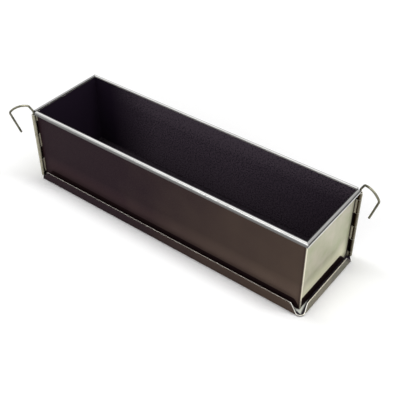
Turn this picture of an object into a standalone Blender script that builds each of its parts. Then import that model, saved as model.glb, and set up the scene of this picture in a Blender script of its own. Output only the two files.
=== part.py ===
"""Hinged rectangular loaf mould on its tray.

Two identical L-shaped wall halves stand on a folded tray. They meet in two
rolled hinges on opposite corners, and a hooked wire pin holds each hinge.
Units are metres, +Z is up and +X is the long way. The origin is the centre
of the tray's underside.
"""

import math

import bmesh
import bpy
from mathutils import Matrix, Vector

# The pan
INNER_LENGTH = 0.300
INNER_WIDTH = 0.080
TOTAL_HEIGHT = 0.077
SHEET = 0.0008
FOLD_INNER_RADIUS = 0.0004
SEAT_GAP = 0.0003

# Rim: a bright strip folded round a stiffening wire and over the wall's edge
RIM_SHEET = 0.0005
RIM_INNER_RADIUS = 0.0004
RIM_WIRE_RADIUS = 0.0008
RIM_WIRE_RECESS = 0.0010

# Hinge: knuckles rolled from the wall's own sheet round a loose wire pin
PIN_RADIUS = 0.0010
PIN_PLAY = 0.0005
ROLL_TURN = math.radians(300)
KNUCKLE_LENGTH = 0.0151
FOOT_KNUCKLE_LENGTH = 0.0050
LEAST_KNUCKLE_LENGTH = 0.0030
KNUCKLE_GAP = 0.0004

# Hook over each pin: the wire's bends in order, as slopes away from upright
HOOK_NECK = 0.0026
HOOK_LEAN_RADIUS = 0.0040
HOOK_LEAN = math.radians(29)
HOOK_RISE = 0.0054
HOOK_SHOULDER_RADIUS = 0.0023
HOOK_SHOULDER = math.radians(74)
HOOK_CROWN_RADIUS = 0.0170
HOOK_CROWN = math.radians(133)
HOOK_ELBOW_RADIUS = 0.0026
HOOK_ELBOW = math.radians(198)
HOOK_LEG = 0.0229
LEFT_HOOK_TURN = math.radians(-130)
RIGHT_HOOK_TURN = math.radians(-20)

# Tray: a floor with four upturned lips, snipped at its corners
LIP_HEIGHT = 0.0114
CHANNEL_WIDTH = 0.0059
TRAY_FOLD_INNER_RADIUS = 0.0005
TRAY_CORNER_RADIUS = 0.0048
CURB_HEIGHT = 0.0015

# How far a lip's foot stops short of the tray's corner, and how much further
# its top edge does: first the corners at the walls' folds, then at the hinges
FOLD_CORNER_LONG = 0.0049
FOLD_CORNER_LONG_SLANT = 0.0068
FOLD_CORNER_SHORT = 0.0046
FOLD_CORNER_SHORT_SLANT = 0.0034
HINGE_CORNER_LONG = 0.0087
HINGE_CORNER_LONG_SLANT = 0.0088
HINGE_CORNER_SHORT = 0.0110
HINGE_CORNER_SHORT_SLANT = 0.0105

# Fineness of the round parts
FOLD_STEPS = 8
CORNER_STEPS = 16
ROLL_STEPS = 32
WIRE_BEVEL_RESOLUTION = 4
WIRE_STEP = 0.0008
SMOOTH_BELOW = math.radians(35)

# Worked out from the sizes above
HALF_LENGTH = INNER_LENGTH / 2
HALF_WIDTH = INNER_WIDTH / 2
ROLL_RADIUS = PIN_RADIUS + PIN_PLAY + SHEET
HINGE_X = HALF_LENGTH + ROLL_RADIUS
HINGE_Y = HALF_WIDTH + ROLL_RADIUS
RIM_SIZE = SHEET + 2 * SEAT_GAP + 2 * RIM_WIRE_RADIUS + RIM_SHEET
RIM_CORNER = RIM_INNER_RADIUS + RIM_SHEET
WALL_FOOT = SHEET + SEAT_GAP
WALL_TOP = TOTAL_HEIGHT - RIM_SHEET - SEAT_GAP
BARREL_TOP = TOTAL_HEIGHT - RIM_SIZE - SEAT_GAP
FRONT_END = -HALF_LENGTH + SEAT_GAP
SIDE_END = HALF_WIDTH - SEAT_GAP
OUTER_FACE_Y = HALF_WIDTH + SHEET
ROLL_TIP_X = HALF_LENGTH + SHEET + SEAT_GAP / 2
TRAY_X = HALF_LENGTH + SHEET + CHANNEL_WIDTH + SHEET
TRAY_Y = HALF_WIDTH + SHEET + CHANNEL_WIDTH + SHEET
CLEAR_OF_ALL = 0.020
QUARTER = math.pi / 2


def clear_scene():
    """Removes everything that is in the scene."""
    for thing in list(bpy.data.objects):
        bpy.data.objects.remove(thing)


def make_material(name, colour, roughness, metallic):
    """A Principled BSDF material of one colour."""
    material = bpy.data.materials.new(name)
    material.use_nodes = True
    shader = material.node_tree.nodes["Principled BSDF"]
    shader.inputs["Base Color"].default_value = (*colour, 1.0)
    shader.inputs["Roughness"].default_value = roughness
    shader.inputs["Metallic"].default_value = metallic
    return material


def add_object(name, data, material=None):
    """Links a new object, with its own material if it has one."""
    made = bpy.data.objects.new(name, data)
    bpy.context.scene.collection.objects.link(made)
    if material:
        made.data.materials.append(material)
    return made


def arc_points(centre, radius, start, turn, steps):
    """Points along an arc about centre, from the angle start through turn."""
    angles = (start + turn * i / steps for i in range(steps + 1))
    return [
        Vector((centre[0] + radius * math.cos(a), centre[1] + radius * math.sin(a)))
        for a in angles
    ]


def finish_mesh(work, name):
    """Turns a bmesh into a mesh with outward faces and smooth round parts."""
    bmesh.ops.recalc_face_normals(work, faces=work.faces)
    mesh = bpy.data.meshes.new(name)
    work.to_mesh(mesh)
    work.free()
    mesh.shade_smooth()
    mesh.set_sharp_from_angle(angle=SMOOTH_BELOW)
    return mesh


def loft_rings(rings):
    """Skins a row of point rings and caps the first and the last."""
    work = bmesh.new()
    loops = [[work.verts.new(point) for point in ring] for ring in rings]
    count = len(rings[0])
    for first, second in zip(loops, loops[1:]):
        for i in range(count):
            j = (i + 1) % count
            work.faces.new((first[i], first[j], second[j], second[i]))
    work.faces.new(loops[0])
    work.faces.new(loops[-1])
    return work


def at_height(outline, height):
    """A plan outline lifted to a height."""
    return [(point.x, point.y, height) for point in outline]


def half_turned(point):
    """The point opposite, half a turn round the object's upright axis."""
    return Vector((-point[0], -point[1], point[2]))


def add_cutter(name, mesh, target):
    """Cuts a hidden solid, which moves with its target, out of the target."""
    cutter = add_object(name, mesh)
    cutter.hide_render = True
    cutter.display_type = "WIRE"
    cutter.parent = target
    cut = target.modifiers.new(name, "BOOLEAN")
    cut.operation = "DIFFERENCE"
    cut.use_self = True
    cut.object = cutter
    return cutter


def sheet_face(offset):
    """One face of a wall half in plan, at an offset out from its inner face.

    It runs from the front's roll, along the front, round the fold and along
    the end to the end's roll. The rolls turn outward, so the sheet's inner
    face becomes their outside.
    """
    radius = ROLL_RADIUS - offset
    fold_centre = (HALF_LENGTH - FOLD_INNER_RADIUS, -HALF_WIDTH + FOLD_INNER_RADIUS)
    front_roll = arc_points(
        (-HINGE_X, -HINGE_Y), radius, QUARTER + ROLL_TURN, -ROLL_TURN, ROLL_STEPS
    )
    fold = arc_points(
        fold_centre, FOLD_INNER_RADIUS + offset, -QUARTER, QUARTER, FOLD_STEPS
    )
    end_roll = arc_points((HINGE_X, HINGE_Y), radius, math.pi, -ROLL_TURN, ROLL_STEPS)
    return front_roll + fold + end_roll


def wall_blank():
    """A wall half, rolled over its whole height along both upright edges."""
    outline = sheet_face(SHEET) + sheet_face(0.0)[::-1]
    rings = [at_height(outline, WALL_FOOT), at_height(outline, WALL_TOP)]
    return finish_mesh(loft_rings(rings), "wall_half")


def knuckle_spans():
    """Heights of the knuckles, foot to top, which the halves own in turn."""
    borders = [WALL_FOOT, WALL_FOOT + FOOT_KNUCKLE_LENGTH]
    while borders[-1] + KNUCKLE_LENGTH + LEAST_KNUCKLE_LENGTH < BARREL_TOP:
        borders.append(borders[-1] + KNUCKLE_LENGTH)
    borders.append(BARREL_TOP)
    return list(zip(borders, borders[1:]))


def add_box(work, low, high):
    """Adds a box between two corners."""
    size = Vector(high) - Vector(low)
    middle = (Vector(high) + Vector(low)) / 2
    place = Matrix.Translation(middle) @ Matrix.Diagonal((*size, 1.0))
    bmesh.ops.create_cube(work, size=1.0, matrix=place)


def knuckle_notches():
    """Boxes that leave a wall half only its own knuckles.

    The front owns every other knuckle from the foot up and the end owns those
    between. Over the barrel the front stops at the other half's inner face,
    and the end reaches the other half's outer face.
    """
    work = bmesh.new()
    front_low = (-HINGE_X - CLEAR_OF_ALL, -HINGE_Y - CLEAR_OF_ALL)
    front_high = (FRONT_END, HALF_WIDTH)
    end_low = (-HALF_LENGTH, SIDE_END)
    end_high = (HINGE_X + CLEAR_OF_ALL, HINGE_Y + CLEAR_OF_ALL)
    above = WALL_TOP + CLEAR_OF_ALL
    for i, (foot, top) in enumerate(knuckle_spans()):
        low, high = (end_low, end_high) if i % 2 == 0 else (front_low, front_high)
        start = foot - (KNUCKLE_GAP if i else CLEAR_OF_ALL) / 2
        add_box(work, (*low, start), (*high, top + KNUCKLE_GAP / 2))
    add_box(work, (*front_low, BARREL_TOP), (*front_high, above))
    add_box(work, (end_low[0], OUTER_FACE_Y, BARREL_TOP), (*end_high, above))
    add_box(work, (ROLL_TIP_X, SIDE_END - ROLL_RADIUS, BARREL_TOP), (*end_high, above))
    mesh = bpy.data.meshes.new("knuckle_notches")
    work.to_mesh(mesh)
    work.free()
    return mesh


def rim_profile():
    """The rim strip's section: how far out from the inner face, and how high.

    The top covers the wall's edge and the bottom closes on its outer face.
    """
    foot = TOTAL_HEIGHT - RIM_SIZE
    clasp = SHEET + SEAT_GAP
    centre_out = RIM_SIZE - RIM_CORNER
    low = (centre_out, foot + RIM_CORNER)
    high = (centre_out, TOTAL_HEIGHT - RIM_CORNER)
    outside = arc_points(low, RIM_CORNER, -QUARTER, QUARTER, FOLD_STEPS)
    outside += arc_points(high, RIM_CORNER, 0.0, QUARTER, FOLD_STEPS)
    inside = arc_points(low, RIM_INNER_RADIUS, -QUARTER, QUARTER, FOLD_STEPS)
    inside += arc_points(high, RIM_INNER_RADIUS, 0.0, QUARTER, FOLD_STEPS)
    edge = [
        Vector((0.0, TOTAL_HEIGHT)),
        Vector((0.0, TOTAL_HEIGHT - RIM_SHEET)),
    ]
    clasp_edge = [Vector((clasp, foot + RIM_SHEET)), Vector((clasp, foot))]
    return outside + edge + inside[::-1] + clasp_edge


def rim_strip():
    """The rim strip along the front and the right end, mitred at the fold."""
    profile = rim_profile()
    start = [(FRONT_END, -HALF_WIDTH - p.x, p.y) for p in profile]
    mitre = [(HALF_LENGTH + p.x, -HALF_WIDTH - p.x, p.y) for p in profile]
    end = [(HALF_LENGTH + p.x, OUTER_FACE_Y, p.y) for p in profile]
    return finish_mesh(loft_rings([start, mitre, end]), "rim_strip")


def wire_curve(name, points, radius):
    """A round wire with closed ends along a row of points."""
    curve = bpy.data.curves.new(name, "CURVE")
    curve.dimensions = "3D"
    curve.bevel_depth = radius
    curve.bevel_resolution = WIRE_BEVEL_RESOLUTION
    curve.use_fill_caps = True
    spline = curve.splines.new("POLY")
    spline.points.add(len(points) - 1)
    for place, point in zip(spline.points, points):
        place.co = (*point, 1.0)
    spline.use_smooth = True
    return curve


def rim_wire():
    """The stiffening wire inside the rim strip, bent once round the fold."""
    out = SHEET + SEAT_GAP + RIM_WIRE_RADIUS
    height = TOTAL_HEIGHT - RIM_SIZE / 2
    centre = (HALF_LENGTH - FOLD_INNER_RADIUS, -HALF_WIDTH + FOLD_INNER_RADIUS)
    bend = arc_points(centre, FOLD_INNER_RADIUS + out, -QUARTER, QUARTER, CORNER_STEPS)
    start = Vector((FRONT_END + RIM_WIRE_RECESS, -HALF_WIDTH - out))
    end = Vector((HALF_LENGTH + out, OUTER_FACE_Y - RIM_WIRE_RECESS))
    return wire_curve("rim_wire", at_height([start, *bend, end], height), RIM_WIRE_RADIUS)


def bent_wire(start, bends):
    """Points of a wire that sets off upward and bends in one upright plane.

    Each bend is a radius, the slope away from upright that it ends at, and
    the straight run after it. A point is the distance out and the height.
    """
    points = [Vector(start)]
    slope = 0.0
    for radius, final, run in bends:
        steps = max(2, math.ceil(radius * abs(final - slope) / WIRE_STEP))
        last = points[-1]
        for i in range(1, steps + 1):
            now = slope + (final - slope) * i / steps
            out = radius * (math.cos(slope) - math.cos(now))
            rise = radius * (math.sin(now) - math.sin(slope))
            points.append(last + Vector((out, rise)))
        slope = final
        if run:
            points.append(points[-1] + run * Vector((math.sin(slope), math.cos(slope))))
    return points


def hinge_pin():
    """A pin on the upright axis, from the tray's floor up into its hook."""
    neck_top = (0.0, BARREL_TOP + HOOK_NECK)
    hook = bent_wire(
        neck_top,
        (
            (HOOK_LEAN_RADIUS, HOOK_LEAN, HOOK_RISE),
            (HOOK_SHOULDER_RADIUS, HOOK_SHOULDER, 0.0),
            (HOOK_CROWN_RADIUS, HOOK_CROWN, 0.0),
            (HOOK_ELBOW_RADIUS, HOOK_ELBOW, HOOK_LEG),
        ),
    )
    line = [Vector((0.0, WALL_FOOT))] + hook
    return wire_curve("hinge_pin", [(p.x, 0.0, p.y) for p in line], PIN_RADIUS)


def tray_ring(inset, height):
    """The tray's outline in plan, drawn in by inset, at a height."""
    radius = TRAY_CORNER_RADIUS - inset
    out_x = TRAY_X - TRAY_CORNER_RADIUS
    out_y = TRAY_Y - TRAY_CORNER_RADIUS
    centres = ((out_x, out_y), (-out_x, out_y), (-out_x, -out_y), (out_x, -out_y))
    outline = []
    for i, centre in enumerate(centres):
        outline += arc_points(centre, radius, i * QUARTER, QUARTER, CORNER_STEPS)
    return at_height(outline, height)


def tray_blank():
    """The tray with lips all round, as rings from its underside to its floor."""
    outer = TRAY_FOLD_INNER_RADIUS + SHEET
    under = arc_points((outer, outer), outer, -QUARTER, -QUARTER, FOLD_STEPS)
    over = arc_points((outer, outer), TRAY_FOLD_INNER_RADIUS, math.pi, QUARTER, FOLD_STEPS)
    lip = [Vector((0.0, LIP_HEIGHT)), Vector((SHEET, LIP_HEIGHT))]
    rings = [tray_ring(point.x, point.y) for point in under + lip + over]
    return finish_mesh(loft_rings(rings), "tray")


def fold_corner_cut():
    """Snips both lips down to a low curb at the front right corner."""

    def plan(height):
        share = height / LIP_HEIGHT
        x = TRAY_X - FOLD_CORNER_LONG - FOLD_CORNER_LONG_SLANT * share
        y = -TRAY_Y + FOLD_CORNER_SHORT + FOLD_CORNER_SHORT_SLANT * share
        far_x = TRAY_X + CLEAR_OF_ALL
        far_y = -TRAY_Y - CLEAR_OF_ALL
        corners = ((x, y), (x, far_y), (far_x, far_y), (far_x, y))
        return [Vector((*corner, height)) for corner in corners]

    return [plan(CURB_HEIGHT), plan(2 * LIP_HEIGHT)]


def hinge_corner_cut():
    """Snips the back right corner off slantwise, so the barrel's foot is free."""

    def plan(height):
        share = height / LIP_HEIGHT
        long_x = TRAY_X - HINGE_CORNER_LONG - HINGE_CORNER_LONG_SLANT * share
        short_y = TRAY_Y - HINGE_CORNER_SHORT - HINGE_CORNER_SHORT_SLANT * share
        on_long = Vector((long_x, TRAY_Y, height))
        on_short = Vector((TRAY_X, short_y, height))
        along = on_short - on_long
        outer = Vector((TRAY_X + CLEAR_OF_ALL, TRAY_Y + CLEAR_OF_ALL, height))
        return [on_long - along, on_short + along, outer + along, outer - along]

    return [plan(-SHEET), plan(2 * LIP_HEIGHT)]


def corner_snips():
    """The cutting solids of all four of the tray's corners."""
    work = bmesh.new()
    for rings in (fold_corner_cut(), hinge_corner_cut()):
        for turned in (False, True):
            placed = [[half_turned(p) if turned else p for p in ring] for ring in rings]
            piece = loft_rings(placed)
            bmesh.ops.recalc_face_normals(piece, faces=piece.faces)
            mesh = bpy.data.meshes.new("snip")
            piece.to_mesh(mesh)
            piece.free()
            work.from_mesh(mesh)
            bpy.data.meshes.remove(mesh)
    mesh = bpy.data.meshes.new("corner_snips")
    work.to_mesh(mesh)
    work.free()
    return mesh


def build_tray(material):
    """The tray, standing on its underside at the origin."""
    tray = add_object("base_tray", tray_blank(), material)
    add_cutter("corner_snips", corner_snips(), tray)


def build_half(side, turn, wall_material, rim_material, wire_material):
    """One wall half with its rim strip and rim wire, turned to its side."""
    wall = add_object(side + "_wall_half", wall_blank(), wall_material)
    strip = add_object(side + "_rim_strip", rim_strip(), rim_material)
    wire = add_object(side + "_rim_wire", rim_wire(), wire_material)
    for piece in (wall, strip, wire):
        piece.rotation_euler.z = turn
    add_cutter(side + "_notches", knuckle_notches(), wall)


def build_pin(side, place, hook_turn, material):
    """A hooked pin on its hinge's axis, its hook swung round by hook_turn."""
    pin = add_object(side + "_hinge_pin", hinge_pin(), material)
    pin.location = (*place, 0.0)
    pin.rotation_euler.z = hook_turn


def build():
    """Makes the whole mould."""
    clear_scene()
    lacquer = make_material("bronze_lacquer", (0.080, 0.056, 0.045), 0.18, 0.85)
    tray_lacquer = make_material("tray_lacquer", (0.090, 0.070, 0.052), 0.25, 0.85)
    bright_steel = make_material("bright_steel", (0.72, 0.71, 0.70), 0.22, 1.0)
    wire_steel = make_material("wire_steel", (0.36, 0.35, 0.28), 0.30, 1.0)
    build_tray(tray_lacquer)
    build_half("front", 0.0, lacquer, bright_steel, wire_steel)
    build_half("back", math.pi, lacquer, bright_steel, wire_steel)
    build_pin("left", (-HINGE_X, -HINGE_Y), LEFT_HOOK_TURN, wire_steel)
    build_pin("right", (HINGE_X, HINGE_Y), RIGHT_HOOK_TURN, wire_steel)


build()
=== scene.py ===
"""Looks of the hinged rectangular loaf mould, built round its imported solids.

Sheet metal is a middle surface, worked out on a grid and given its gauge.
Strip and wire are sections carried along a path. Places come from the frame's
own boxes. Units are metres.
"""
import math

import bpy
import numpy as np
from mathutils import Matrix, Vector


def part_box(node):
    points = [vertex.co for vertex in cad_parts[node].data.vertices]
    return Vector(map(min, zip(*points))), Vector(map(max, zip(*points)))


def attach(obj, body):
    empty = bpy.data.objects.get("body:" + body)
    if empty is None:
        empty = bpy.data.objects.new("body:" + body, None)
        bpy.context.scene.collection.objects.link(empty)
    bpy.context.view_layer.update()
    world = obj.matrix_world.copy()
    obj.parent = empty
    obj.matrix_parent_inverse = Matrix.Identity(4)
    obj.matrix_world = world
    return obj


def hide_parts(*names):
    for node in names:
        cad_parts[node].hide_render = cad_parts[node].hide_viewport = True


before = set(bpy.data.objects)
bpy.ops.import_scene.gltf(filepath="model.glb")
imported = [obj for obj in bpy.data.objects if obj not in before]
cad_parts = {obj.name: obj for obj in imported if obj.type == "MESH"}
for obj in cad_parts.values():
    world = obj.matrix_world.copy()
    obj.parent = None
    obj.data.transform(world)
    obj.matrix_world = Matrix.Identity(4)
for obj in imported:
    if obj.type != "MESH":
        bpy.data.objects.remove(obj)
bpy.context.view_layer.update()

# Sheet, strip and wire, and how they are folded and rolled
SHEET = 0.0008
SEAT_GAP = 0.0003
FOLD_INNER_RADIUS = 0.0004
ROLL_RADIUS = 0.0023
ROLL_TURN = math.radians(300)
KNUCKLE_LENGTH = 0.0151
FOOT_KNUCKLE_LENGTH = 0.0050
LEAST_KNUCKLE_LENGTH = 0.0030
KNUCKLE_GAP = 0.0004
RIM_SHEET = 0.0005
RIM_INNER_RADIUS = 0.0004
RIM_WIRE_RADIUS = 0.0008
RIM_WIRE_RECESS = 0.0010
PIN_RADIUS = 0.0010
WIRE_END_ROUNDING = 0.0003
EDGE_ROUNDING = 0.00012
SHARP_ANGLE = math.radians(50)

# The pins' bends in order: radius, slope away from upright after it, run after it
HOOK_NECK = 0.0026
HOOK_BENDS = (
    (0.0040, math.radians(29), 0.0054),
    (0.0023, math.radians(74), 0.0),
    (0.0170, math.radians(133), 0.0),
    (0.0026, math.radians(198), 0.0229),
)
LEFT_HOOK_TURN = math.radians(-130)
RIGHT_HOOK_TURN = math.radians(-20)

# The tray's folds, corners and snips
TRAY_FOLD_INNER_RADIUS = 0.0005
TRAY_CORNER_RADIUS = 0.0048
CURB_HEIGHT = 0.0015
FOLD_CORNER_LONG = 0.0049
FOLD_CORNER_LONG_SLANT = 0.0068
FOLD_CORNER_SHORT = 0.0046
FOLD_CORNER_SHORT_SLANT = 0.0034
HINGE_CORNER_LONG = 0.0087
HINGE_CORNER_LONG_SLANT = 0.0088
HINGE_CORNER_SHORT = 0.0110
HINGE_CORNER_SHORT_SLANT = 0.0105

# Places read from the frame
wall_low, wall_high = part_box("front_wall_half")
rim_low, rim_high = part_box("front_rim_strip")
_, tray_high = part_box("base_tray")
HINGE_X = wall_high[0] - ROLL_RADIUS
HINGE_Y = wall_high[1] - ROLL_RADIUS
HALF_LENGTH = HINGE_X - ROLL_RADIUS
HALF_WIDTH = HINGE_Y - ROLL_RADIUS
WALL_FOOT = wall_low[2]
WALL_TOP = wall_high[2]
RIM_FOOT = rim_low[2]
RIM_TOP = rim_high[2]
RIM_SIZE = RIM_TOP - RIM_FOOT
BARREL_TOP = RIM_FOOT - SEAT_GAP
FRONT_END = -HALF_LENGTH + SEAT_GAP
SIDE_END = HALF_WIDTH - SEAT_GAP
OUTER_FACE_Y = HALF_WIDTH + SHEET
TRAY_X = tray_high[0]
TRAY_Y = tray_high[1]
LIP_HEIGHT = tray_high[2]

# The lacquer: the long sides' colours at the hinge and at the fold, above and then
# low down, painted paler there as painted light, the ends' pale colours, a painted
# reflection, and the foot's painted shadow and the bend's painted highlight
DARK_AT_HINGE = (0.016, 0.005, 0.012)
DARK_AT_FOLD = (0.136, 0.096, 0.066)
DARK_CHANGE = (0.36, 1.37)
LOW_AT_HINGE = (0.066, 0.038, 0.044)
LOW_AT_FOLD = (0.25, 0.183, 0.134)
DARK_GRAIN = (0.080, 0.056, 0.050)
PALE_WARM = (0.478, 0.453, 0.356)
PALE_GREEN = (0.392, 0.408, 0.265)
PALE_LOW = (0.74, 0.725, 0.565)
PAINTED_SHADE = (0.026, 0.013, 0.014)
FOLD_HIGHLIGHT = (0.86, 0.81, 0.67)
LACQUER_ROUGHNESS = (0.40, 0.80)
LACQUER_SPECULAR = 0.03

# The coat inside the pan and the tray's inner side: their colours, and where along
# and up the pan the coat is painted darker, as painted shade, or paler, as painted light
COAT_DARK = (0.014, 0.008, 0.018)
COAT_LIGHT = (0.130, 0.102, 0.130)
COAT_LEFT = (-0.13, -0.07)
COAT_RIGHT = (0.03, 0.12)
COAT_LEFT_SHARE = 0.0
COAT_RIGHT_LOSS = 0.40
COAT_LOW = (0.010, 0.035)
COAT_HIGH = (0.055, 0.072)
COAT_LOW_SHARE = 0.62
COAT_HIGH_SHARE = 1.15
COAT_ROUGHNESS = 0.5
TRAY_DARK = (0.008, 0.005, 0.009)
TRAY_LIGHT = (0.040, 0.030, 0.040)
TRAY_ROUGHNESS = 0.4
# A painted highlight: the pale of the wedge under each fold
CORNER_HIGHLIGHT = (0.95, 0.97, 0.88)
BLACK_SPECULAR = 0.2

# The rolls and straps, the cut edges and the wire
# The rolls' dark and pale: painted shade toward the pan and a painted reflection away from it
ROLL_DARK = (0.020, 0.011, 0.004)
ROLL_PALE = (0.38, 0.36, 0.27)
ROLL_PATCHES = (0.75, 1.1)
ROLL_ROUGHNESS = (0.30, 0.18)
# The straps' pale olive is a painted reflection
STRAP_PALE = (0.56, 0.52, 0.40)
EDGE_DARK = (0.48, 0.45, 0.41)
EDGE_LIGHT = (0.80, 0.77, 0.70)
EDGE_SNIPPED = (0.97, 0.96, 0.90)
EDGE_ROUGHNESS = 0.45
WIRE_DARK = (0.10, 0.097, 0.066)
WIRE_LIGHT = (0.23, 0.22, 0.165)
WIRE_ROUGHNESS = (0.38, 0.22)

# The rim strip: its tones from its inner edge over its top and round its two bends
# to its foot, and where the coat laps over its inner edge. The tones are painted
# highlight and shade, different on the long arms and on the end arms
LONG_TONES = (0.90, 0.50, 0.26, 0.17, 0.16, 0.08)
END_TONES = (0.40, 0.30, 0.04, 0.06, 0.95, 0.60)
LAP_TONES = (0.28, 0.04)
STRIP_LAP = 0.0008
LAP_BLEND = 0.0001
MITRE_BLEND = 0.0003
STRIP_BLACK = (0.0, 0.0, 0.0)
STRIP_WHITE = (1.0, 0.995, 0.98)
STRIP_LINE_TONES = (0.90, 1.04)
STRIP_ROUGHNESS = (0.26, 0.36)

# The share of the ends' pale colour, a painted reflection, on the tray's long lips and on its end
# lips
TRAY_PALES = (0.005, 0.335)

# Grain: the parts of a noise's range that are used, each noise's features to a
# metre and its detail, and the values that it is spread over
MOST_NOISE = (0.3, 0.7)
MIDDLE_NOISE = (0.35, 0.65)
LACQUER_CLOUDS = (22.0, 3.0)
CLOUD_SHIFTS = (-0.06, 0.06)
LACQUER_GRAIN = (1100.0, 2.0)
GRAIN_SHARES = (0.0, 0.3)
LACQUER_BLOTCHES = (70.0, 5.0)
LACQUER_SMEARS = (60.0, 3.0)
SMEAR_SHIFTS = (-0.03, 0.03)
COARSE_SPECKLE = (700.0, 1.0)
COARSE_SHARES = (0.0, 0.75)
FINE_SPECKLE = (1900.0, 2.0)
FINE_SHARES = (0.0, 0.25)
ROLL_MOTTLE = (260.0, 3.0)
EDGE_BURRS = (900.0, 3.0)
STRIP_LINES = (700.0, 2.0)
STRIP_LINE_STRETCH = (0.03, 0.03, 1.0)
STRIP_SMEARS = (90.0, 3.0)
WIRE_TARNISH = (160.0, 3.0)

# Relief: the noise it follows, and its depth
LACQUER_RELIEF = (500.0, 2.0)
LACQUER_DEPTH = 0.000002
COAT_RELIEF = (1200.0, 2.0)
COAT_DEPTH = 0.00002
TRAY_RELIEF = (900.0, 2.0)
TRAY_DEPTH = 0.00001
ROLL_RELIEF = (900.0, 2.0)
ROLL_DEPTH = 0.000004
STRIP_DEPTH = 0.000002

# Where the lacquer changes: round the fold, on the hump past it that has a painted
# highlight, at the walls' foot, which is higher on the ends, painted dark as the
# shadow of the tray's lip, above it, where the walls are painted paler as painted
# light, and at the margins by the hinges and beside the fold, painted dark as shade
FOLD_CHANGE = (0.70, 0.98)
HIGHLIGHT_AWAY = 0.0005
HIGHLIGHT_REACH = 0.0008
HIGHLIGHT_HEIGHT = 1.5
LONG_FOOT = 0.0106
END_FOOT = 0.0120
FOOT_BLEND = 0.0006
LONG_LOW_TOP = 0.030
END_LOW_TOP = 0.028
LONG_MARGIN = 0.0020
END_MARGIN = 0.0030
FOLD_MARGIN = 0.0012
FOLD_MARGIN_SHARE = 0.35

# How pale the rolls are painted, as a painted reflection on the side facing away
# from the pan, by how far they face that way, and how many radii from a roll's middle
# its strap begins
PAINTED_LIGHT_WAY = math.radians(65)
PAINTED_LIGHT_FACINGS = (-0.7, 0.2, 0.9)
PAINTED_LIGHT_SHARES = (0.0, 0.6, 1.0)
STRAP_START = 1.001

# The pale wedge painted on the tray under each of the walls' folds, a painted
# highlight: half its width at the fold, half the width that is fully pale, how fast it
# narrows outward, and where it ends
WEDGE_REACH = 0.0056
WEDGE_CORE = 0.00336
WEDGE_TAPER = 0.65
WEDGE_END = 0.0080
WEDGE_BLEND = 0.0004

# Where the materials begin: the walls' panels and then their straps and rolls,
# and the tray's floor and then its lips
PANEL_KIND = 0
ROLL_KIND = 3
FLOOR_KIND = 0
LIP_KIND = 3

# Fineness
FOLD_STEPS = 8
CORNER_STEPS = 16
ROLL_STEPS = 40
WIRE_SIDES = 24
WIRE_STEP = 0.0004
PANEL_STEP = 0.0025
PANEL_END_STEPS = (
    0.0002, 0.0004, 0.0008, 0.0011, 0.0013, 0.0019, 0.0021, 0.0029, 0.0031
)
SHORT_LIP_STEPS = 16
LONG_LIP_STEPS = 48
LIP_LEVELS = 3
FLOOR_SHARES = (0.3, 0.6, 0.9, 0.97)
WIRE_END_RINGS = 4
EDGE_SEGMENTS = 2

# A length that counts as none, a right angle, and the two halves, the back one being
# the front one turned half round the upright axis
NO_LENGTH = 1e-9
QUARTER = math.pi / 2
HALVES = (("front", np.array([1.0, 1.0, 1.0])), ("back", np.array([-1.0, -1.0, 1.0])))


def give(tree, target, values):
    """Sets a node's inputs to values, or joins them to other nodes' sockets."""
    for key, value in values.items():
        if isinstance(value, bpy.types.NodeSocket):
            tree.links.new(value, target.inputs[key])
        else:
            target.inputs[key].default_value = value


def node(tree, kind, inputs=None, **settings):
    """A new node, with its settings made and some of its inputs given."""
    made = tree.nodes.new(kind)
    for key, value in settings.items():
        setattr(made, key, value)
    give(tree, made, inputs or {})
    return made


def start_material(name):
    """A node material, its shader and its object coordinates."""
    material = bpy.data.materials.new(name)
    material.use_nodes = True
    tree = material.node_tree
    place = node(tree, "ShaderNodeTexCoord").outputs["Object"]
    return material, tree, tree.nodes["Principled BSDF"], place


def split(tree, place):
    """A place's X, Y and Z."""
    return node(tree, "ShaderNodeSeparateXYZ", {"Vector": place}).outputs


def noise(tree, place, scale, detail, stretch=(1.0, 1.0, 1.0)):
    """Noise of so many features to a metre, drawn out along the axes by stretch."""
    mapped = node(tree, "ShaderNodeMapping", {"Vector": place, "Scale": stretch}).outputs[0]
    inputs = {"Vector": mapped, "Scale": scale, "Detail": detail}
    return node(tree, "ShaderNodeTexNoise", inputs).outputs["Fac"]


def spread(tree, value, low, high, new_low=0.0, new_high=1.0):
    """A value carried from one range to another and held inside it."""
    inputs = {
        "Value": value,
        "From Min": low,
        "From Max": high,
        "To Min": new_low,
        "To Max": new_high,
    }
    return node(tree, "ShaderNodeMapRange", inputs).outputs["Result"]


def mix(tree, share, first, second):
    """A colour between two colours, which the node has at its inputs 6 and 7."""
    colours = [
        colour if isinstance(colour, bpy.types.NodeSocket) else (*colour, 1.0)
        for colour in (first, second)
    ]
    inputs = {0: share, 6: colours[0], 7: colours[1]}
    return node(tree, "ShaderNodeMix", inputs, data_type="RGBA").outputs[2]


def relief(tree, height, depth):
    """The normal of small relief of a real depth."""
    inputs = {"Height": height, "Distance": depth, "Strength": 1.0}
    return node(tree, "ShaderNodeBump", inputs).outputs[0]


def mark(tree, name):
    """A share that the mesh gives at each of its points."""
    return node(tree, "ShaderNodeAttribute", attribute_name=name).outputs["Fac"]


def work_out(tree, kind, first, second=0.0, third=0.0, **settings):
    """One step of arithmetic on values."""
    inputs = {0: first, 1: second, 2: third}
    return node(tree, "ShaderNodeMath", inputs, operation=kind, **settings).outputs[0]


def along_side(tree, place):
    """How far along its long side a point is: 0 at the hinge and 1 at the fold."""
    axes = split(tree, place)
    facing = work_out(tree, "SIGN", axes["Y"])
    return spread(tree, work_out(tree, "MULTIPLY", axes["X"], facing), TRAY_X, -TRAY_X)


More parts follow.
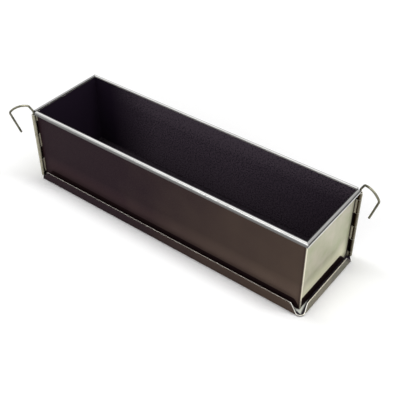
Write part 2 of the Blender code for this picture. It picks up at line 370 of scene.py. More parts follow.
def bronze_lacquer():
    """Lacquer over bright sheet: dark brown satin on the long sides, pale on the ends.

    end_side is the share of the ends' pale colour, a painted reflection. The long
    sides are purplish at the hinge and olive brown at the fold, where the sheet's bend
    has a painted highlight, and are painted a little paler low down, as painted light.
    Below the height that foot gives, the walls are painted near black as the shadow of
    the tray's lip, and at the margins they are painted near black as shade.
    """
    material, tree, shader, place = start_material("bronze_lacquer")
    height = split(tree, place)["Z"]
    foot_height = mark(tree, "foot")
    footed = spread(tree, foot_height, 0.0, LONG_FOOT)
    # How far low down the walls are painted paler, as painted light
    end_low, long_low = (
        work_out(tree, "MULTIPLY", footed, spread(tree, height, foot, top, 1.0, 0.0))
        for foot, top in ((END_FOOT, END_LOW_TOP), (LONG_FOOT, LONG_LOW_TOP))
    )
    cloud = spread(tree, noise(tree, place, *LACQUER_CLOUDS), *MIDDLE_NOISE, *CLOUD_SHIFTS)
    along = work_out(tree, "ADD", along_side(tree, place), cloud)
    olive = spread(tree, along, *DARK_CHANGE)
    dark = mix(tree, olive, DARK_AT_HINGE, DARK_AT_FOLD)
    # Painted light: the long sides are painted paler low down
    dark = mix(tree, long_low, dark, mix(tree, olive, LOW_AT_HINGE, LOW_AT_FOLD))
    grain = spread(tree, noise(tree, place, *LACQUER_GRAIN), *MOST_NOISE, *GRAIN_SHARES)
    dark = mix(tree, grain, dark, DARK_GRAIN)
    blotch = spread(tree, noise(tree, place, *LACQUER_BLOTCHES), *MIDDLE_NOISE)
    # The ends' pale colour is a painted reflection, painted paler low down as painted light
    pale = mix(tree, end_low, mix(tree, blotch, PALE_WARM, PALE_GREEN), PALE_LOW)
    side = mark(tree, "end_side")
    above = work_out(tree, "SUBTRACT", height, foot_height)
    foot = spread(tree, above, -FOOT_BLEND, 0.0, 1.0, 0.0)
    # Painted shadow of the tray's lip at the foot, and painted shade at the margins
    painted_shade = work_out(tree, "MAXIMUM", foot, mark(tree, "margin"))
    whole = mix(tree, painted_shade, mix(tree, side, dark, pale), PAINTED_SHADE)
    smear = spread(tree, noise(tree, place, *LACQUER_SMEARS), *MOST_NOISE, *SMEAR_SHIFTS)
    roughness = spread(tree, end_low, 0.0, 1.0, *LACQUER_ROUGHNESS)
    # The bend just past the fold gets a painted highlight
    give(tree, shader, {
        "Base Color": mix(tree, mark(tree, "fold_highlight"), whole, FOLD_HIGHLIGHT),
        "Metallic": side,
        "Roughness": work_out(tree, "ADD", roughness, smear),
        "Specular IOR Level": LACQUER_SPECULAR,
        "Normal": relief(tree, noise(tree, place, *LACQUER_RELIEF), LACQUER_DEPTH),
    })
    return material


def speckle(tree, place):
    """A share that goes up and down in grains of a millimetre, with finer ones between."""
    coarse = spread(tree, noise(tree, place, *COARSE_SPECKLE), *MIDDLE_NOISE, *COARSE_SHARES)
    fine = spread(tree, noise(tree, place, *FINE_SPECKLE), *MIDDLE_NOISE, *FINE_SHARES)
    return work_out(tree, "ADD", coarse, fine)


def nonstick_coat():
    """Black non-stick coat, speckled.

    It is painted darker at both ends, the left most, as painted shade, and painted
    paler low down and near the rim, as painted light.
    """
    material, tree, shader, place = start_material("nonstick_coat")
    axes = split(tree, place)
    low = spread(tree, axes["Z"], *COAT_LOW, COAT_LOW_SHARE, 0.0)
    high = spread(tree, axes["Z"], *COAT_HIGH, 1.0, 1.0 + COAT_HIGH_SHARE)
    left = spread(tree, axes["X"], *COAT_LEFT, COAT_LEFT_SHARE, 1.0)
    right = spread(tree, axes["X"], *COAT_RIGHT, 0.0, COAT_RIGHT_LOSS)
    # Painted light and shade: darker at both ends, paler low down and near the rim
    painted_light = work_out(
        tree, "MULTIPLY", work_out(tree, "SUBTRACT", left, right), work_out(tree, "ADD", low, high)
    )
    light = work_out(tree, "MULTIPLY", speckle(tree, place), painted_light)
    give(tree, shader, {
        "Base Color": mix(tree, light, COAT_DARK, COAT_LIGHT),
        "Roughness": COAT_ROUGHNESS,
        "Specular IOR Level": BLACK_SPECULAR,
        "Normal": relief(tree, noise(tree, place, *COAT_RELIEF), COAT_DEPTH),
    })
    return material


def tray_black():
    """The tray's inner side: brown-black, with a pale wedge painted under each fold as a painted
    highlight.

    past_end and past_side are how far a point is outside the end wall and the
    long wall, which meet at the fold.
    """
    material, tree, shader, place = start_material("tray_black")
    axes = split(tree, place)
    facing = work_out(tree, "SIGN", axes["Y"])
    opposite = work_out(tree, "MULTIPLY", facing, -1.0)
    past_end = work_out(tree, "MULTIPLY_ADD", axes["X"], opposite, -HALF_LENGTH - SHEET)
    past_side = work_out(tree, "MULTIPLY_ADD", axes["Y"], facing, -HALF_WIDTH - SHEET)
    ahead = work_out(tree, "ADD", past_end, past_side)
    aside = work_out(tree, "ABSOLUTE", work_out(tree, "SUBTRACT", past_end, past_side))
    reach = work_out(tree, "MULTIPLY_ADD", ahead, WEDGE_TAPER, aside)
    wedge = spread(tree, reach, WEDGE_CORE, WEDGE_REACH, 1.0, 0.0)
    outside = spread(tree, work_out(tree, "MAXIMUM", past_end, past_side), 0.0, WEDGE_BLEND)
    short = spread(tree, ahead, WEDGE_END - WEDGE_BLEND, WEDGE_END, 1.0, 0.0)
    # The wedge is a painted highlight
    corner_highlight = work_out(tree, "MULTIPLY", wedge, work_out(tree, "MULTIPLY", outside, short))
    black = mix(tree, speckle(tree, place), TRAY_DARK, TRAY_LIGHT)
    give(tree, shader, {
        "Base Color": mix(tree, corner_highlight, black, CORNER_HIGHLIGHT),
        "Roughness": TRAY_ROUGHNESS,
        "Specular IOR Level": BLACK_SPECULAR,
        "Normal": relief(tree, noise(tree, place, *TRAY_RELIEF), TRAY_DEPTH),
    })
    return material


def roll_bronze():
    """The rolls' bronze: pale olive facing away from the pan and brown-black toward it, a painted
    reflection and painted shade, and the straps' pale olive, a painted reflection too.
    """
    material, tree, shader, place = start_material("roll_bronze")
    patches = spread(tree, noise(tree, place, *ROLL_MOTTLE), *MOST_NOISE, *ROLL_PATCHES)
    # Painted reflection and shade, by the way the roll faces
    painted_light = work_out(tree, "MULTIPLY", mark(tree, "painted_light"), patches)
    strap = mark(tree, "strap")
    give(tree, shader, {
        "Base Color": mix(tree, strap, mix(tree, painted_light, ROLL_DARK, ROLL_PALE), STRAP_PALE),
        "Metallic": spread(tree, strap, 0.0, 1.0, 1.0, 0.0),
        "Roughness": spread(tree, patches, *ROLL_PATCHES, *ROLL_ROUGHNESS),
        "Normal": relief(tree, noise(tree, place, *ROLL_RELIEF), ROLL_DEPTH),
    })
    return material


def cut_edge():
    """The sheet's sheared edge, steel with fine burrs: dull, and uncoated where it was snipped."""
    material, tree, shader, place = start_material("cut_edge")
    burrs = spread(tree, noise(tree, place, *EDGE_BURRS), *MOST_NOISE)
    dull = mix(tree, burrs, EDGE_DARK, EDGE_LIGHT)
    give(tree, shader, {
        "Base Color": mix(tree, mark(tree, "snip"), dull, EDGE_SNIPPED),
        "Metallic": 1.0,
        "Roughness": EDGE_ROUGHNESS,
    })
    return material


def strip_steel():
    """Rolled strip with faint lines along it; tone is its painted highlight and shade."""
    material, tree, shader, place = start_material("strip_steel")
    lines = noise(tree, place, *STRIP_LINES, STRIP_LINE_STRETCH)
    streaks = spread(tree, lines, *MOST_NOISE, *STRIP_LINE_TONES)
    # tone is painted highlight and shade
    tone = work_out(tree, "MULTIPLY", mark(tree, "tone"), streaks)
    smears = noise(tree, place, *STRIP_SMEARS)
    give(tree, shader, {
        "Base Color": mix(tree, tone, STRIP_BLACK, STRIP_WHITE),
        "Metallic": 1.0,
        "Roughness": spread(tree, smears, *MOST_NOISE, *STRIP_ROUGHNESS),
        "Normal": relief(tree, lines, STRIP_DEPTH),
    })
    return material


def wire_steel():
    """Drawn wire, a little dulled and olive."""
    material, tree, shader, place = start_material("wire_steel")
    tarnish = noise(tree, place, *WIRE_TARNISH)
    give(tree, shader, {
        "Base Color": mix(tree, spread(tree, tarnish, *MIDDLE_NOISE), WIRE_DARK, WIRE_LIGHT),
        "Metallic": 1.0,
        "Roughness": spread(tree, tarnish, *MOST_NOISE, *WIRE_ROUGHNESS),
    })
    return material


def arc(centre, radius, start, turn, steps):
    """Plan points at even angles a round centre: centre + radius (cos a, sin a)."""
    a = start + turn * np.linspace(0.0, 1.0, steps + 1)
    return np.stack([centre[0] + radius * np.cos(a), centre[1] + radius * np.sin(a)], axis=1)


def line(start, end):
    """Plan points at even steps along a straight line."""
    start, end = np.array(start), np.array(end)
    count = max(1, math.ceil(np.linalg.norm(end - start) / PANEL_STEP))
    return start + (end - start) * np.linspace(0.0, 1.0, count + 1)[:, None]


def panel(start, end):
    """Plan points of a straight line, with more near its ends, where finishes change."""
    even = line(start, end)
    length = np.linalg.norm(even[-1] - even[0])
    close = np.array([step for step in PANEL_END_STEPS if step < length / 2]) / length
    share = np.unique(np.concatenate([np.linspace(0.0, 1.0, len(even)), close, 1.0 - close]))
    return even[0] + (even[-1] - even[0]) * share[:, None]


def grid_quads(rows, columns, round_columns=False):
    """Quads of a grid of points, row by row, its last column joined to its first if round."""
    index = np.arange(rows * columns).reshape(rows, columns)
    if round_columns:
        index = np.concatenate([index, index[:, :1]], axis=1)
    return np.stack([index[:-1, :-1], index[:-1, 1:], index[1:, 1:], index[1:, :-1]], axis=-1)


def add_piece(name, points, faces, materials, body, replaced, marks=None, kinds=None):
    """A mesh piece that rides a body and stands for a node.

    Points that no face uses are left out. marks holds shares for the
    materials, one at each point, and kinds the material of each face.
    """
    flat = np.concatenate([np.asarray(face) for face in faces])
    used, renumbered = np.unique(flat, return_inverse=True)
    ends = np.cumsum([len(face) for face in faces])[:-1]
    mesh = bpy.data.meshes.new(name)
    mesh.from_pydata(points[used].tolist(), [], [f.tolist() for f in np.split(renumbered, ends)])
    for title, shares in (marks or {}).items():
        kept = mesh.attributes.new(title, "FLOAT", "POINT")
        kept.data.foreach_set("value", shares[used].astype(np.float32))
    for material in materials:
        mesh.materials.append(material)
    if kinds is not None:
        mesh.polygons.foreach_set("material_index", kinds.astype(np.int32))
    mesh.shade_smooth()
    made = bpy.data.objects.new(name, mesh)
    bpy.context.scene.collection.objects.link(made)
    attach(made, body)
    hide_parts(replaced)
    return made


def round_edges(piece):
    """Takes the sharpness off a piece's edges."""
    edge = piece.modifiers.new("edge", "BEVEL")
    edge.width = EDGE_ROUNDING
    edge.segments = EDGE_SEGMENTS
    edge.limit_method = "ANGLE"
    edge.angle_limit = SHARP_ANGLE
    edge.harden_normals = True


def give_gauge(piece):
    """Thickens a middle surface to the sheet's gauge and rounds its cut edges.

    The surface's own faces end up on the inner side. The outer side has the
    material after theirs, and the cut edge has the one after that.
    """
    sheet = piece.modifiers.new("gauge", "SOLIDIFY")
    sheet.thickness = SHEET
    sheet.offset = 0.0
    sheet.use_even_offset = True
    sheet.material_offset = 1
    sheet.material_offset_rim = 2
    round_edges(piece)


def knuckle_tops():
    """Heights of the knuckles' tops, up from the foot. The halves own them in turn."""
    tops = [WALL_FOOT + FOOT_KNUCKLE_LENGTH]
    while tops[-1] + KNUCKLE_LENGTH + LEAST_KNUCKLE_LENGTH < BARREL_TOP:
        tops.append(tops[-1] + KNUCKLE_LENGTH)
    return [*tops, BARREL_TOP]


def wall_levels():
    """Heights of the wall's grid, and who owns the knuckle in each row.

    0 is the front, 1 the end, 2 a gap between knuckles and 3 over the barrel.
    """
    *tops, highest = knuckle_tops()
    heights, owners = [WALL_FOOT], []
    for i, top in enumerate(tops):
        heights += [top - KNUCKLE_GAP / 2, top + KNUCKLE_GAP / 2]
        owners += [i % 2, 2]
    heights += [highest, WALL_TOP]
    owners += [len(tops) % 2, 3]
    return np.array(heights), np.array(owners)


def wall_plan():
    """Plan line of a half's middle surface, roll tip to roll tip.

    With it goes the zone of each step along it: 0 the front's roll and strap,
    1 the panels, 2 the end's stub up to the other half's outer face, 3 its
    strap and roll.
    """
    middle = SHEET / 2
    radius = ROLL_RADIUS - middle
    fold_centre = (HALF_LENGTH - FOLD_INNER_RADIUS, -HALF_WIDTH + FOLD_INNER_RADIUS)
    fold = arc(fold_centre, FOLD_INNER_RADIUS + middle, -QUARTER, QUARTER, FOLD_STEPS)
    front_y = -HALF_WIDTH - middle
    end_x = HALF_LENGTH + middle
    stretches = (
        (0, arc((-HINGE_X, -HINGE_Y), radius, QUARTER + ROLL_TURN, -ROLL_TURN, ROLL_STEPS)),
        (0, panel((-HINGE_X, front_y), (FRONT_END, front_y))[1:]),
        (1, panel((FRONT_END, front_y), fold[0])[1:]),
        (1, fold[1:]),
        (1, panel(fold[-1], (end_x, SIDE_END))[1:]),
        (2, np.array([[end_x, OUTER_FACE_Y]])),
        (3, panel((end_x, OUTER_FACE_Y), (end_x, HINGE_Y))[1:]),
        (3, arc((HINGE_X, HINGE_Y), radius, math.pi, -ROLL_TURN, ROLL_STEPS)[1:]),
    )
    plan = np.concatenate([points for _, points in stretches])
    zones = np.concatenate([np.full(len(points), zone) for zone, points in stretches])
    return plan, zones


def end_share(plan):
    """How far each plan point's sheet has the ends' pale colour, a painted reflection.

    The tangent's Y share, squared, is the measure, and the pale colour changes
    over late in a bend, on the end's side.
    """
    tangent = np.gradient(plan, axis=0)
    share = tangent[:, 1] ** 2 / (tangent**2).sum(axis=1)
    return np.interp(share, FOLD_CHANGE, (0.0, 1.0))


def snipped(place, first, first_slant, last, last_slant):
    """Share of a lip's full height at places along it, between its two snips' slants."""
    share = np.minimum((place - first) / first_slant, (last - place) / last_slant)
    return np.clip(share, 0.0, 1.0)


def wall_finish(plan, zones):
    """Shares for the wall's materials at each point of the plan line.

    end_side is the ends' panels' pale colour, a painted reflection. The painted
    highlight on the fold is a hump just past it, on the end. The rolls' painted
    reflection and shade follows the cosine of the angle between a roll's facing and
    the way set above, which points away from the pan at the right hinge. strap is the
    flat part between a panel and its roll. foot is the height of the painted shadow of
    the tray's lip, which goes down as the lip before it does, and margin marks the
    panels' margins by the hinges and beside the fold, painted dark as shade.
    """
    x, y = plan.T
    fold_end = (HALF_LENGTH + SHEET / 2, -HALF_WIDTH + FOLD_INNER_RADIUS + HIGHLIGHT_AWAY)
    off_fold = np.hypot(*(plan - fold_end).T)
    away = (np.abs(plan) - (HINGE_X, HINGE_Y)) / (ROLL_RADIUS - SHEET / 2)
    facing = away @ (math.cos(PAINTED_LIGHT_WAY), math.sin(PAINTED_LIGHT_WAY))
    front_lip = snipped(
        x,
        -TRAY_X + HINGE_CORNER_LONG,
        HINGE_CORNER_LONG_SLANT,
        TRAY_X - FOLD_CORNER_LONG,
        FOLD_CORNER_LONG_SLANT,
    )
    end_lip = snipped(
        y,
        -TRAY_Y + FOLD_CORNER_SHORT,
        FOLD_CORNER_SHORT_SLANT,
        TRAY_Y - HINGE_CORNER_SHORT,
        HINGE_CORNER_SHORT_SLANT,
    )
    return {
        # The ends' pale colour, a painted reflection
        "end_side": end_share(plan) * (zones == 1),
        # The painted highlight on the bend past the fold
        "fold_highlight": np.clip(HIGHLIGHT_HEIGHT - off_fold / HIGHLIGHT_REACH, 0.0, 1.0),
        # Painted reflection and shade on the rolls, by the way they face
        "painted_light": np.interp(facing, PAINTED_LIGHT_FACINGS, PAINTED_LIGHT_SHARES),
        "strap": np.hypot(*away.T) > STRAP_START,
        # Height of the painted shadow of the tray's lip
        "foot": np.where(x > HALF_LENGTH, END_FOOT * end_lip, LONG_FOOT * front_lip),
        # Margins painted dark as shade
        "margin": np.where(
            (x < -HALF_LENGTH + LONG_MARGIN) | (y > HALF_WIDTH - END_MARGIN),
            1.0,
            FOLD_MARGIN_SHARE * (x > HALF_LENGTH - FOLD_MARGIN) * (y < -HALF_WIDTH),
        ),
    }


def make_walls(materials):
    """Both wall halves: the plan line times the heights, less the knuckle notches.

    The coat is on the panels' inside only. That side of the sheet goes on as
    the outside of the rolls, where it is bronze.
    """
    plan, zones = wall_plan()
    heights, owners = wall_levels()
    points = np.empty((len(plan), len(heights), 3))
    points[:, :, :2] = plan[:, None, :]
    points[:, :, 2] = heights[None, :]
    zone, owner = zones[1:, None], owners[None, :]
    kept = (zone == 1) | ((zone == 0) & (owner == 0)) | ((zone >= 2) & (owner == 1))
    kept |= (zone == 2) & (owner == 3)
    quads = grid_quads(len(plan), len(heights))[kept]
    kinds = np.where(np.broadcast_to(zone, kept.shape)[kept] == 1, PANEL_KIND, ROLL_KIND)
    finish = wall_finish(plan, zones)
    marks = {name: np.repeat(share, len(heights)) for name, share in finish.items()}
    for name, turn in HALVES:
        piece = add_piece(
            name + "_wall_sheet", points.reshape(-1, 3) * turn, quads, materials,
            "walls", name + "_wall_half", marks, kinds,
        )
        give_gauge(piece)


def hinge_corner_ends(inset, height):
    """Where the back right snip meets the right lip and the back lip.

    The snip is a straight line in plan. Its ends draw back along the lips
    with height.
    """
    share = height / LIP_HEIGHT
    long_cut = HINGE_CORNER_LONG + HINGE_CORNER_LONG_SLANT * share
    short_cut = HINGE_CORNER_SHORT + HINGE_CORNER_SHORT_SLANT * share
    on_right = (TRAY_X - inset, TRAY_Y - short_cut * (1 - inset / long_cut))
    on_back = (TRAY_X - long_cut * (1 - inset / short_cut), TRAY_Y - inset)
    return on_right, on_back


def tray_outline(inset, height):
    """The tray's plan at an inset from its outside, and the zone of each step.

    Zone 0 is the rounded corner at the fold, 1 a lip and 2 the snip at the
    hinge. Half of it is worked out and then turned half round.
    """
    share = max(height, CURB_HEIGHT) / LIP_HEIGHT
    front_x = TRAY_X - FOLD_CORNER_LONG - FOLD_CORNER_LONG_SLANT * share
    right_y = -TRAY_Y + FOLD_CORNER_SHORT + FOLD_CORNER_SHORT_SLANT * share
    on_right, on_back = hinge_corner_ends(inset, height)
    centre = (TRAY_X - TRAY_CORNER_RADIUS, -TRAY_Y + TRAY_CORNER_RADIUS)
    corner = arc(centre, TRAY_CORNER_RADIUS - inset, -QUARTER, QUARTER, CORNER_STEPS)
    right = np.linspace((TRAY_X - inset, right_y), on_right, SHORT_LIP_STEPS + 1)
    back = np.linspace(on_back, (-front_x, TRAY_Y - inset), LONG_LIP_STEPS + 1)
    half = np.concatenate([corner, right, back])
    zones = [0] * len(corner) + [1] * SHORT_LIP_STEPS + [2] + [1] * LONG_LIP_STEPS + [0]
    return np.concatenate([half, -half]), np.array(zones + zones)


def tray_sections():
    """Insets and heights of the tray's middle surface, floor's edge to lip's top."""
    middle = SHEET / 2
    bend = TRAY_FOLD_INNER_RADIUS + SHEET
    fold = arc((bend, bend), TRAY_FOLD_INNER_RADIUS + middle, -QUARTER, -QUARTER, FOLD_STEPS)
    heights = np.linspace(CURB_HEIGHT, LIP_HEIGHT, LIP_LEVELS + 1)
    lip = np.column_stack([np.full(len(heights), middle), heights])
    return np.concatenate([fold, lip])


def make_tray(materials):
    """The tray: its floor drawn out from the middle, then folded up into the lips.

    end_side is the end lips' pale colour, a painted reflection, and snip marks
    the edges that were snipped.
    """
    sections = tray_sections()
    outlines = [tray_outline(inset, height) for inset, height in sections]
    zones = outlines[0][1]
    edge = outlines[0][0]
    rings = [np.column_stack([edge * f, np.full(len(edge), SHEET / 2)]) for f in FLOOR_SHARES]
    for (plan, _), (_, height) in zip(outlines, sections):
        rings.append(np.column_stack([plan, np.full(len(plan), height)]))
    count = len(edge)
    quads = grid_quads(len(rings), count, round_columns=True)
    below = np.array([ring[0, 2] for ring in rings[1:]])[:, None]
    zone = zones[None, :]
    floor = below < SHEET / 2 + NO_LENGTH
    kept = floor | (zone == 1) | ((zone == 0) & (below < CURB_HEIGHT + NO_LENGTH))
    faces = list(quads[kept][:, ::-1]) + [np.arange(count)]
    kinds = np.where(np.broadcast_to(floor, kept.shape)[kept], FLOOR_KIND, LIP_KIND)
    ends = np.concatenate([end_share(ring[:, :2]) for ring in rings])
    # The end lips' pale colour, a painted reflection
    side = np.interp(ends, (0.0, 1.0), TRAY_PALES)
    snip = np.tile((zones != 1) | (np.roll(zones, 1) != 1), len(rings))
    piece = add_piece(
        "tray_sheet", np.concatenate(rings), faces, materials,
        "tray", "base_tray", {"end_side": side, "snip": snip},
        np.append(kinds, FLOOR_KIND),
    )
    give_gauge(piece)


def rim_section():
    """The rim strip's section: distance out from the inner face, and height.

    It goes up round the outside, back over the top, and returns inside.
    """
    clasp = SHEET + SEAT_GAP
    radius = RIM_INNER_RADIUS + RIM_SHEET
    low = (RIM_SIZE - radius, RIM_FOOT + radius)
    high = (RIM_SIZE - radius, RIM_TOP - radius)
    outside, inside = (
        [arc(low, size, -QUARTER, QUARTER, FOLD_STEPS), arc(high, size, 0.0, QUARTER, FOLD_STEPS)]
        for size in (radius, RIM_INNER_RADIUS)
    )
    lap = [(STRIP_LAP + LAP_BLEND, RIM_TOP), (STRIP_LAP - LAP_BLEND, RIM_TOP)]
    edge = np.array([*lap, (0.0, RIM_TOP), (0.0, RIM_TOP - RIM_SHEET)])
    foot = np.array([(clasp, RIM_FOOT + RIM_SHEET), (clasp, RIM_FOOT)])
    return np.concatenate([*outside, edge, np.concatenate(inside)[::-1], foot])


def rim_tones(tones, lap_tone, section):
    """The strip's tone, a painted highlight and shade, at each point of its section.

    The height up the flank, and then the distance in from the top bend, is
    one running measure, between whose landmarks the tones go evenly. The
    coat laps a little way over the strip's inner edge.
    """
    out, height = section.T
    radius = RIM_INNER_RADIUS + RIM_SHEET
    measure = height - RIM_FOOT + (RIM_SIZE - out) * (height > RIM_TOP - radius)
    lap = 2 * RIM_SIZE - STRIP_LAP
    landmarks = (
        0.0,
        radius,
        RIM_SIZE - radius,
        RIM_SIZE,
        RIM_SIZE + radius,
        lap - LAP_BLEND,
        lap + LAP_BLEND,
    )
    return np.interp(measure, landmarks, (*tones[::-1], lap_tone))


def make_rims(material):
    """Both rim strips: the section along the front and the end, mitred between.

    The tones change over between a ring just before the mitre and one after.
    """
    section = rim_section()
    out, height = section.T
    mitre = HALF_LENGTH + out
    corner = np.stack([mitre, -HALF_WIDTH - out, height], axis=1)
    rings = [
        np.stack([np.full_like(out, FRONT_END), -HALF_WIDTH - out, height], axis=1),
        corner - (MITRE_BLEND, 0.0, 0.0),
        corner,
        corner + (0.0, MITRE_BLEND, 0.0),
        np.stack([mitre, np.full_like(out, OUTER_FACE_Y), height], axis=1),
    ]
    count = len(out)
    faces = list(grid_quads(len(rings), count, round_columns=True).reshape(-1, 4))
    faces += [np.arange(count)[::-1], np.arange(count) + (len(rings) - 1) * count]
    # Painted highlight and shade: lit and shaded copies of one steel on the long and the end arms
    on_long, on_end = (
        rim_tones(tones, lap_tone, section)
        for tones, lap_tone in zip((LONG_TONES, END_TONES), LAP_TONES)
    )
    tone = np.concatenate([on_long, on_long, (on_long + on_end) / 2, on_end, on_end])
    for name, turn in HALVES:
        piece = add_piece(
            name + "_rim_bead", np.concatenate(rings) * turn, faces, [material],
            "walls", name + "_rim_strip", {"tone": tone},
        )
        round_edges(piece)


def tube(path, side_way, radius):
    """A wire: rings of a circle round a path, square to it, with rounded ends.

    side_way is square to the whole path. At each end the rings draw in on a
    quarter circle, of radius WIRE_END_ROUNDING.
    """
    along = np.gradient(path, axis=0)
    along /= np.linalg.norm(along, axis=1)[:, None]
    a = np.linspace(0.0, QUARTER, WIRE_END_RINGS + 1)[1:]
    ahead = WIRE_END_ROUNDING * np.sin(a)
    radii = radius - WIRE_END_ROUNDING * (1 - np.cos(a))
    start = (path[0] + along[0] * WIRE_END_ROUNDING) - along[0] * ahead[:, None]
    end = (path[-1] - along[-1] * WIRE_END_ROUNDING) + along[-1] * ahead[:, None]
    inner = path[1:-1]
    centres = np.concatenate([start[::-1], inner, end])
    sizes = np.concatenate([radii[::-1], np.full(len(inner), radius), radii])
    start_ways, end_ways = (np.repeat(way, len(a), axis=0) for way in (along[:1], along[-1:]))
    ways = np.concatenate([start_ways, along[1:-1], end_ways])
    third = np.cross(ways, side_way)
    turn = np.linspace(0.0, 2 * math.pi, WIRE_SIDES, endpoint=False)
    rings = centres[:, None] + sizes[:, None, None] * (
        np.cos(turn)[None, :, None] * np.asarray(side_way)[None, None, :]
        + np.sin(turn)[None, :, None] * third[:, None, :]
    )
    count = len(centres)
    faces = list(grid_quads(count, WIRE_SIDES, round_columns=True).reshape(-1, 4)[:, ::-1])
    faces += [np.arange(WIRE_SIDES), np.arange(WIRE_SIDES)[::-1] + (count - 1) * WIRE_SIDES]
    return rings.reshape(-1, 3), faces


def pin_path():
    """The pin's middle line in the plane of its hook, as distance out and height.

    The slope away from upright grows evenly round each bend and stays the same
    along each run, and the line is the running sum of its direction.
    """
    knots, slopes = [0.0, BARREL_TOP + HOOK_NECK - WALL_FOOT], [0.0, 0.0]
    for radius, slope, run in HOOK_BENDS:
        for length, after in ((radius * (slope - slopes[-1]), slope), (run, slope)):
            knots.append(knots[-1] + length)
            slopes.append(after)
    count = math.ceil(knots[-1] / WIRE_STEP)
    length = np.linspace(0.0, knots[-1], count + 1)
    middle = np.interp((length[1:] + length[:-1]) / 2, knots, slopes)
    steps = np.stack([np.sin(middle), np.cos(middle)], axis=1) * length[1]
    return np.concatenate([[[0.0, WALL_FOOT]], steps]).cumsum(axis=0)


def make_pins(material):
    """Both hinge pins, each hook swung round its hinge's upright axis."""
    out, height = pin_path().T
    for name, where, turn in (("left", -1.0, LEFT_HOOK_TURN), ("right", 1.0, RIGHT_HOOK_TURN)):
        x_way, y_way = math.cos(turn), math.sin(turn)
        path = np.stack(
            [where * HINGE_X + out * x_way, where * HINGE_Y + out * y_way, height], axis=1
        )
        points, faces = tube(path, (-y_way, x_way, 0.0), PIN_RADIUS)
        add_piece(
            name + "_hooked_pin", points, faces, [material],
            name + "_pin", name + "_hinge_pin",
        )


def make_rim_wires(material):
    """Both stiffening wires inside the rim strips, bent once round the fold."""
    out = SHEET + SEAT_GAP + RIM_WIRE_RADIUS
    centre = (HALF_LENGTH - FOLD_INNER_RADIUS, -HALF_WIDTH + FOLD_INNER_RADIUS)
    bend = arc(centre, FOLD_INNER_RADIUS + out, -QUARTER, QUARTER, CORNER_STEPS)
    start = (FRONT_END + RIM_WIRE_RECESS, -HALF_WIDTH - out)
    end = (HALF_LENGTH + out, OUTER_FACE_Y - RIM_WIRE_RECESS)
    plan = np.concatenate([line(start, bend[0])[:-1], bend, line(bend[-1], end)[1:]])
    path = np.column_stack([plan, np.full(len(plan), (RIM_FOOT + RIM_TOP) / 2)])
    points, faces = tube(path, (0.0, 0.0, 1.0), RIM_WIRE_RADIUS)
    for name, turn in HALVES:
        add_piece(
            name + "_rim_core", points * turn, faces, [material],
            "walls", name + "_rim_wire",
        )


# The photograph's camera
AIM = Vector((0.0267, -0.0142, 0.0386))
CAMERA_DISTANCE = 0.669
CAMERA_AZIMUTH = math.radians(37.694)
CAMERA_ELEVATION = math.radians(40.063)
CAMERA_ROLL = math.radians(-0.247)
SENSOR = 36.0
FOCAL_PIXELS = 744.7
IMAGE_PIXELS = 400
CLIP_START = 0.01


def make_camera():
    """The camera, at the photograph's place and with its lens."""
    lens = bpy.data.cameras.new("camera")
    lens.sensor_width = SENSOR
    lens.lens = SENSOR * FOCAL_PIXELS / IMAGE_PIXELS
    lens.clip_start = CLIP_START
    camera = bpy.data.objects.new("camera", lens)
    bpy.context.scene.collection.objects.link(camera)
    back = Vector(
        (
            math.sin(CAMERA_AZIMUTH) * math.cos(CAMERA_ELEVATION),
            -math.cos(CAMERA_AZIMUTH) * math.cos(CAMERA_ELEVATION),
            math.sin(CAMERA_ELEVATION),
        )
    )
    turn = (-back).to_track_quat("-Z", "Y").to_matrix().to_4x4()
    place = Matrix.Translation(AIM + back * CAMERA_DISTANCE)
    camera.matrix_world = place @ turn @ Matrix.Rotation(CAMERA_ROLL, 4, "Z")
    bpy.context.scene.camera = camera


# The studio: a floor that is seen white far away, even surroundings, and soft lamps
# with their places, widths, depths and powers
WHITE = (1.0, 1.0, 1.0, 1.0)
FLOOR_SIZE = 12.0
FLOOR_DROP = 0.0002
FLOOR_COLOUR = (0.94, 0.94, 0.94, 1.0)
FLOOR_LIFTS = (0.10, 1.0)
FLOOR_LIFT_REACH = (0.25, 1.2)
WORLD_LIGHT = 0.07
LAMPS = (
    ("top_lamp", (-0.02, 0.15, 1.50), 1.6, 0.25, 19.0),
    ("front_lamp", (-0.10, -1.00, 0.86), 2.2, 0.7, 7.2),
    ("right_lamp", (1.00, 0.10, 0.45), 0.8, 0.4, 2.6),
)


def seen_directly(tree):
    """1 for what the camera sees, also in gloss and through glass, and else 0."""
    rays = node(tree, "ShaderNodeLightPath").outputs
    seen = work_out(tree, "ADD", rays["Is Camera Ray"], rays["Is Glossy Ray"])
    return work_out(tree, "ADD", seen, rays["Is Transmission Ray"], use_clamp=True)


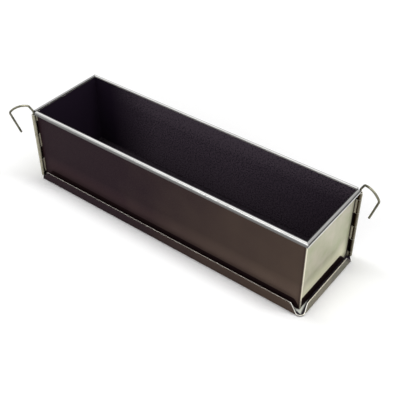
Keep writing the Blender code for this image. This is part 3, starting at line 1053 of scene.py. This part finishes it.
def make_floor():
    """A plain floor that keeps the mould's shadow, and is seen white far from it."""
    size = FLOOR_SIZE / 2
    mesh = bpy.data.meshes.new("floor")
    corners = [(-size, -size, 0.0), (size, -size, 0.0), (size, size, 0.0), (-size, size, 0.0)]
    mesh.from_pydata(corners, [], [(0, 1, 2, 3)])
    material, tree, shader, place = start_material("floor_white")
    away = node(tree, "ShaderNodeVectorMath", {0: place}, operation="LENGTH").outputs["Value"]
    lift = spread(tree, away, *FLOOR_LIFT_REACH, *FLOOR_LIFTS)
    give(tree, shader, {
        "Base Color": FLOOR_COLOUR,
        "Roughness": 1.0,
        "Specular IOR Level": 0.0,
        "Emission Color": WHITE,
        "Emission Strength": work_out(tree, "MULTIPLY", seen_directly(tree), lift),
    })
    mesh.materials.append(material)
    floor = bpy.data.objects.new("floor", mesh)
    floor.location.z = -FLOOR_DROP
    bpy.context.scene.collection.objects.link(floor)


def make_world():
    """Even white surroundings: plain light, and white where they are seen."""
    world = bpy.data.worlds.new("studio")
    world.use_nodes = True
    bpy.context.scene.world = world
    tree = world.node_tree
    strength = spread(tree, seen_directly(tree), 0.0, 1.0, WORLD_LIGHT, 1.0)
    give(tree, tree.nodes["Background"], {"Color": WHITE, "Strength": strength})


def add_lamp(name, place, width, depth, power):
    """An oblong soft lamp that faces the mould."""
    light = bpy.data.lights.new(name, "AREA")
    light.shape = "RECTANGLE"
    light.size = width
    light.size_y = depth
    light.energy = power
    lamp = bpy.data.objects.new(name, light)
    lamp.location = place
    lamp.rotation_euler = (AIM - Vector(place)).to_track_quat("-Z", "Y").to_euler()
    bpy.context.scene.collection.objects.link(lamp)


make_camera()
lacquer, edge = bronze_lacquer(), cut_edge()
make_walls([nonstick_coat(), lacquer, edge, roll_bronze(), lacquer, edge])
make_tray([tray_black(), lacquer, edge, lacquer, lacquer, edge])
make_rims(strip_steel())
wire = wire_steel()
make_pins(wire)
make_rim_wires(wire)
make_floor()
make_world()
for lamp in LAMPS:
    add_lamp(*lamp)

bpy.context.scene.view_settings.view_transform = "Standard"
